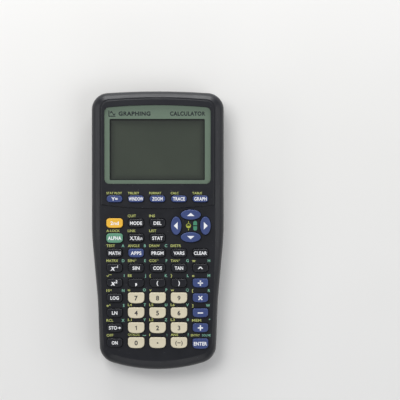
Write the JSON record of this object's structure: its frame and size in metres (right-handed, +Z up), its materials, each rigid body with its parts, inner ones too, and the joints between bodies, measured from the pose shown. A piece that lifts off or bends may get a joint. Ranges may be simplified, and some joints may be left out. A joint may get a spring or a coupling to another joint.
{
  "type": "graphing calculator",
  "caption": "Handheld graphing calculator: wedge-shaped case, wide display window, grid of moulded push keys, oval arrow keys and a slide-off battery door.",
  "frame": {"origin": "centre of the footprint, on the plane of the four moulded rest pads", "axes": "+Z up out of the face as it lies on its back, +Y towards the display end, +X to the right of the keypad"},
  "size_m": [0.0872, 0.1841, 0.0234],
  "materials": {
    "case_front": "fine matte texture, near-black blue-grey",
    "case_rear": "fine matte texture, near-black blue-grey",
    "battery_door": "fine matte texture, as the rear cover",
    "clear_window": "clear moulded plastic, polished",
    "display": "grey-green display in a dark frame",
    "membrane": "grey silicone",
    "board": "green solder mask",
    "cell_can": "printed sleeve over a metal can",
    "contact": "nickel-plated spring steel",
    "screw": "blackened steel",
    "key_blue": "satin blue",
    "key_ivory": "satin ivory",
    "key_yellow": "satin yellow",
    "key_green": "satin green",
    "key_black": "satin near-black"
  },
  "bodies": {
    "case": {"front_cover": "case_front", "rear_cover": "case_rear", "display_window": "clear_window", "lcd_module": "display", "keypad_membrane": "membrane", "main_board": "board", "aaa_cells": "cell_can", "battery_contacts": "contact", "screws": "screw"},
    "battery_cover": {"battery_cover": "battery_door"},
    "key_y_equals": {"key_y_equals": "key_blue"},
    "key_window": {"key_window": "key_blue"},
    "key_zoom": {"key_zoom": "key_blue"},
    "key_trace": {"key_trace": "key_blue"},
    "key_graph": {"key_graph": "key_blue"},
    "key_2nd": {"key_2nd": "key_yellow"},
    "key_mode": {"key_mode": "key_black"},
    "key_del": {"key_del": "key_black"},
    "key_alpha": {"key_alpha": "key_green"},
    "key_variable": {"key_variable": "key_black"},
    "key_stat": {"key_stat": "key_black"},
    "key_arrow_up": {"key_arrow_up": "key_blue"},
    "key_arrow_down": {"key_arrow_down": "key_blue"},
    "key_arrow_left": {"key_arrow_left": "key_blue"},
    "key_arrow_right": {"key_arrow_right": "key_blue"},
    "key_math": {"key_math": "key_black"},
    "key_apps": {"key_apps": "key_blue"},
    "key_prgm": {"key_prgm": "key_black"},
    "key_vars": {"key_vars": "key_black"},
    "key_clear": {"key_clear": "key_black"},
    "key_inverse": {"key_inverse": "key_black"},
    "key_sin": {"key_sin": "key_black"},
    "key_cos": {"key_cos": "key_black"},
    "key_tan": {"key_tan": "key_black"},
    "key_power": {"key_power": "key_black"},
    "key_square": {"key_square": "key_black"},
    "key_comma": {"key_comma": "key_black"},
    "key_open_bracket": {"key_open_bracket": "key_black"},
    "key_close_bracket": {"key_close_bracket": "key_black"},
    "key_divide": {"key_divide": "key_blue"},
    "key_log": {"key_log": "key_black"},
    "key_7": {"key_7": "key_ivory"},
    "key_8": {"key_8": "key_ivory"},
    "key_9": {"key_9": "key_ivory"},
    "key_multiply": {"key_multiply": "key_blue"},
    "key_ln": {"key_ln": "key_black"},
    "key_4": {"key_4": "key_ivory"},
    "key_5": {"key_5": "key_ivory"},
    "key_6": {"key_6": "key_ivory"},
    "key_minus": {"key_minus": "key_blue"},
    "key_store": {"key_store": "key_black"},
    "key_1": {"key_1": "key_ivory"},
    "key_2": {"key_2": "key_ivory"},
    "key_3": {"key_3": "key_ivory"},
    "key_plus": {"key_plus": "key_blue"},
    "key_on": {"key_on": "key_black"},
    "key_0": {"key_0": "key_ivory"},
    "key_point": {"key_point": "key_ivory"},
    "key_negative": {"key_negative": "key_ivory"},
    "key_enter": {"key_enter": "key_blue"}
  },
  "joints": [
    {"name": "battery_cover_slide", "type": "slide", "parent": "case", "child": "battery_cover", "axis": [0, 1, 0], "range_m": [0, 0.06]},
    {"name": "key_y_equals_press", "type": "slide", "parent": "case", "child": "key_y_equals", "axis": [0, 0.025, -0.9997], "range_m": [0, 0.001], "stiffness_N_per_m": 300, "springref_m": -0.0003, "deforming": ["keypad_membrane"]},
    {"name": "key_window_press", "type": "slide", "parent": "case", "child": "key_window", "axis": [0, 0.025, -0.9997], "range_m": [0, 0.001], "stiffness_N_per_m": 300, "springref_m": -0.0003, "deforming": ["keypad_membrane"]},
    {"name": "key_zoom_press", "type": "slide", "parent": "case", "child": "key_zoom", "axis": [0, 0.025, -0.9997], "range_m": [0, 0.001], "stiffness_N_per_m": 300, "springref_m": -0.0003, "deforming": ["keypad_membrane"]},
    {"name": "key_trace_press", "type": "slide", "parent": "case", "child": "key_trace", "axis": [0, 0.025, -0.9997], "range_m": [0, 0.001], "stiffness_N_per_m": 300, "springref_m": -0.0003, "deforming": ["keypad_membrane"]},
    {"name": "key_graph_press", "type": "slide", "parent": "case", "child": "key_graph", "axis": [0, 0.025, -0.9997], "range_m": [0, 0.001], "stiffness_N_per_m": 300, "springref_m": -0.0003, "deforming": ["keypad_membrane"]},
    {"name": "key_2nd_press", "type": "slide", "parent": "case", "child": "key_2nd", "axis": [0, 0.025, -0.9997], "range_m": [0, 0.001], "stiffness_N_per_m": 300, "springref_m": -0.0003, "deforming": ["keypad_membrane"]},
    {"name": "key_mode_press", "type": "slide", "parent": "case", "child": "key_mode", "axis": [0, 0.025, -0.9997], "range_m": [0, 0.001], "stiffness_N_per_m": 300, "springref_m": -0.0003, "deforming": ["keypad_membrane"]},
    {"name": "key_del_press", "type": "slide", "parent": "case", "child": "key_del", "axis": [0, 0.025, -0.9997], "range_m": [0, 0.001], "stiffness_N_per_m": 300, "springref_m": -0.0003, "deforming": ["keypad_membrane"]},
    {"name": "key_alpha_press", "type": "slide", "parent": "case", "child": "key_alpha", "axis": [0, 0.025, -0.9997], "range_m": [0, 0.001], "stiffness_N_per_m": 300, "springref_m": -0.0003, "deforming": ["keypad_membrane"]},
    {"name": "key_variable_press", "type": "slide", "parent": "case", "child": "key_variable", "axis": [0, 0.025, -0.9997], "range_m": [0, 0.001], "stiffness_N_per_m": 300, "springref_m": -0.0003, "deforming": ["keypad_membrane"]},
    {"name": "key_stat_press", "type": "slide", "parent": "case", "child": "key_stat", "axis": [0, 0.025, -0.9997], "range_m": [0, 0.001], "stiffness_N_per_m": 300, "springref_m": -0.0003, "deforming": ["keypad_membrane"]},
    {"name": "key_arrow_up_press", "type": "slide", "parent": "case", "child": "key_arrow_up", "axis": [0, 0.025, -0.9997], "range_m": [0, 0.001], "stiffness_N_per_m": 300, "springref_m": -0.0003, "deforming": ["keypad_membrane"]},
    {"name": "key_arrow_down_press", "type": "slide", "parent": "case", "child": "key_arrow_down", "axis": [0, 0.025, -0.9997], "range_m": [0, 0.001], "stiffness_N_per_m": 300, "springref_m": -0.0003, "deforming": ["keypad_membrane"]},
    {"name": "key_arrow_left_press", "type": "slide", "parent": "case", "child": "key_arrow_left", "axis": [0, 0.025, -0.9997], "range_m": [0, 0.001], "stiffness_N_per_m": 300, "springref_m": -0.0003, "deforming": ["keypad_membrane"]},
    {"name": "key_arrow_right_press", "type": "slide", "parent": "case", "child": "key_arrow_right", "axis": [0, 0.025, -0.9997], "range_m": [0, 0.001], "stiffness_N_per_m": 300, "springref_m": -0.0003, "deforming": ["keypad_membrane"]},
    {"name": "key_math_press", "type": "slide", "parent": "case", "child": "key_math", "axis": [0, 0.025, -0.9997], "range_m": [0, 0.001], "stiffness_N_per_m": 300, "springref_m": -0.0003, "deforming": ["keypad_membrane"]},
    {"name": "key_apps_press", "type": "slide", "parent": "case", "child": "key_apps", "axis": [0, 0.025, -0.9997], "range_m": [0, 0.001], "stiffness_N_per_m": 300, "springref_m": -0.0003, "deforming": ["keypad_membrane"]},
    {"name": "key_prgm_press", "type": "slide", "parent": "case", "child": "key_prgm", "axis": [0, 0.025, -0.9997], "range_m": [0, 0.001], "stiffness_N_per_m": 300, "springref_m": -0.0003, "deforming": ["keypad_membrane"]},
    {"name": "key_vars_press", "type": "slide", "parent": "case", "child": "key_vars", "axis": [0, 0.025, -0.9997], "range_m": [0, 0.001], "stiffness_N_per_m": 300, "springref_m": -0.0003, "deforming": ["keypad_membrane"]},
    {"name": "key_clear_press", "type": "slide", "parent": "case", "child": "key_clear", "axis": [0, 0.025, -0.9997], "range_m": [0, 0.001], "stiffness_N_per_m": 300, "springref_m": -0.0003, "deforming": ["keypad_membrane"]},
    {"name": "key_inverse_press", "type": "slide", "parent": "case", "child": "key_inverse", "axis": [0, 0.025, -0.9997], "range_m": [0, 0.001], "stiffness_N_per_m": 300, "springref_m": -0.0003, "deforming": ["keypad_membrane"]},
    {"name": "key_sin_press", "type": "slide", "parent": "case", "child": "key_sin", "axis": [0, 0.025, -0.9997], "range_m": [0, 0.001], "stiffness_N_per_m": 300, "springref_m": -0.0003, "deforming": ["keypad_membrane"]},
    {"name": "key_cos_press", "type": "slide", "parent": "case", "child": "key_cos", "axis": [0, 0.025, -0.9997], "range_m": [0, 0.001], "stiffness_N_per_m": 300, "springref_m": -0.0003, "deforming": ["keypad_membrane"]},
    {"name": "key_tan_press", "type": "slide", "parent": "case", "child": "key_tan", "axis": [0, 0.025, -0.9997], "range_m": [0, 0.001], "stiffness_N_per_m": 300, "springref_m": -0.0003, "deforming": ["keypad_membrane"]},
    {"name": "key_power_press", "type": "slide", "parent": "case", "child": "key_power", "axis": [0, 0.025, -0.9997], "range_m": [0, 0.001], "stiffness_N_per_m": 300, "springref_m": -0.0003, "deforming": ["keypad_membrane"]},
    {"name": "key_square_press", "type": "slide", "parent": "case", "child": "key_square", "axis": [0, 0.025, -0.9997], "range_m": [0, 0.001], "stiffness_N_per_m": 300, "springref_m": -0.0003, "deforming": ["keypad_membrane"]},
    {"name": "key_comma_press", "type": "slide", "parent": "case", "child": "key_comma", "axis": [0, 0.025, -0.9997], "range_m": [0, 0.001], "stiffness_N_per_m": 300, "springref_m": -0.0003, "deforming": ["keypad_membrane"]},
    {"name": "key_open_bracket_press", "type": "slide", "parent": "case", "child": "key_open_bracket", "axis": [0, 0.025, -0.9997], "range_m": [0, 0.001], "stiffness_N_per_m": 300, "springref_m": -0.0003, "deforming": ["keypad_membrane"]},
    {"name": "key_close_bracket_press", "type": "slide", "parent": "case", "child": "key_close_bracket", "axis": [0, 0.025, -0.9997], "range_m": [0, 0.001], "stiffness_N_per_m": 300, "springref_m": -0.0003, "deforming": ["keypad_membrane"]},
    {"name": "key_divide_press", "type": "slide", "parent": "case", "child": "key_divide", "axis": [0, 0.025, -0.9997], "range_m": [0, 0.001], "stiffness_N_per_m": 300, "springref_m": -0.0003, "deforming": ["keypad_membrane"]},
    {"name": "key_log_press", "type": "slide", "parent": "case", "child": "key_log", "axis": [0, 0.025, -0.9997], "range_m": [0, 0.001], "stiffness_N_per_m": 300, "springref_m": -0.0003, "deforming": ["keypad_membrane"]},
    {"name": "key_7_press", "type": "slide", "parent": "case", "child": "key_7", "axis": [0, 0.025, -0.9997], "range_m": [0, 0.001], "stiffness_N_per_m": 300, "springref_m": -0.0003, "deforming": ["keypad_membrane"]},
    {"name": "key_8_press", "type": "slide", "parent": "case", "child": "key_8", "axis": [0, 0.025, -0.9997], "range_m": [0, 0.001], "stiffness_N_per_m": 300, "springref_m": -0.0003, "deforming": ["keypad_membrane"]},
    {"name": "key_9_press", "type": "slide", "parent": "case", "child": "key_9", "axis": [0, 0.025, -0.9997], "range_m": [0, 0.001], "stiffness_N_per_m": 300, "springref_m": -0.0003, "deforming": ["keypad_membrane"]},
    {"name": "key_multiply_press", "type": "slide", "parent": "case", "child": "key_multiply", "axis": [0, 0.025, -0.9997], "range_m": [0, 0.001], "stiffness_N_per_m": 300, "springref_m": -0.0003, "deforming": ["keypad_membrane"]},
    {"name": "key_ln_press", "type": "slide", "parent": "case", "child": "key_ln", "axis": [0, 0.025, -0.9997], "range_m": [0, 0.001], "stiffness_N_per_m": 300, "springref_m": -0.0003, "deforming": ["keypad_membrane"]},
    {"name": "key_4_press", "type": "slide", "parent": "case", "child": "key_4", "axis": [0, 0.025, -0.9997], "range_m": [0, 0.001], "stiffness_N_per_m": 300, "springref_m": -0.0003, "deforming": ["keypad_membrane"]},
    {"name": "key_5_press", "type": "slide", "parent": "case", "child": "key_5", "axis": [0, 0.025, -0.9997], "range_m": [0, 0.001], "stiffness_N_per_m": 300, "springref_m": -0.0003, "deforming": ["keypad_membrane"]},
    {"name": "key_6_press", "type": "slide", "parent": "case", "child": "key_6", "axis": [0, 0.025, -0.9997], "range_m": [0, 0.001], "stiffness_N_per_m": 300, "springref_m": -0.0003, "deforming": ["keypad_membrane"]},
    {"name": "key_minus_press", "type": "slide", "parent": "case", "child": "key_minus", "axis": [0, 0.025, -0.9997], "range_m": [0, 0.001], "stiffness_N_per_m": 300, "springref_m": -0.0003, "deforming": ["keypad_membrane"]},
    {"name": "key_store_press", "type": "slide", "parent": "case", "child": "key_store", "axis": [0, 0.025, -0.9997], "range_m": [0, 0.001], "stiffness_N_per_m": 300, "springref_m": -0.0003, "deforming": ["keypad_membrane"]},
    {"name": "key_1_press", "type": "slide", "parent": "case", "child": "key_1", "axis": [0, 0.025, -0.9997], "range_m": [0, 0.001], "stiffness_N_per_m": 300, "springref_m": -0.0003, "deforming": ["keypad_membrane"]},
    {"name": "key_2_press", "type": "slide", "parent": "case", "child": "key_2", "axis": [0, 0.025, -0.9997], "range_m": [0, 0.001], "stiffness_N_per_m": 300, "springref_m": -0.0003, "deforming": ["keypad_membrane"]},
    {"name": "key_3_press", "type": "slide", "parent": "case", "child": "key_3", "axis": [0, 0.025, -0.9997], "range_m": [0, 0.001], "stiffness_N_per_m": 300, "springref_m": -0.0003, "deforming": ["keypad_membrane"]},
    {"name": "key_plus_press", "type": "slide", "parent": "case", "child": "key_plus", "axis": [0, 0.025, -0.9997], "range_m": [0, 0.001], "stiffness_N_per_m": 300, "springref_m": -0.0003, "deforming": ["keypad_membrane"]},
    {"name": "key_on_press", "type": "slide", "parent": "case", "child": "key_on", "axis": [0, 0.025, -0.9997], "range_m": [0, 0.001], "stiffness_N_per_m": 300, "springref_m": -0.0003, "deforming": ["keypad_membrane"]},
    {"name": "key_0_press", "type": "slide", "parent": "case", "child": "key_0", "axis": [0, 0.025, -0.9997], "range_m": [0, 0.001], "stiffness_N_per_m": 300, "springref_m": -0.0003, "deforming": ["keypad_membrane"]},
    {"name": "key_point_press", "type": "slide", "parent": "case", "child": "key_point", "axis": [0, 0.025, -0.9997], "range_m": [0, 0.001], "stiffness_N_per_m": 300, "springref_m": -0.0003, "deforming": ["keypad_membrane"]},
    {"name": "key_negative_press", "type": "slide", "parent": "case", "child": "key_negative", "axis": [0, 0.025, -0.9997], "range_m": [0, 0.001], "stiffness_N_per_m": 300, "springref_m": -0.0003, "deforming": ["keypad_membrane"]},
    {"name": "key_enter_press", "type": "slide", "parent": "case", "child": "key_enter", "axis": [0, 0.025, -0.9997], "range_m": [0, 0.001], "stiffness_N_per_m": 300, "springref_m": -0.0003, "deforming": ["keypad_membrane"]}
  ]
}
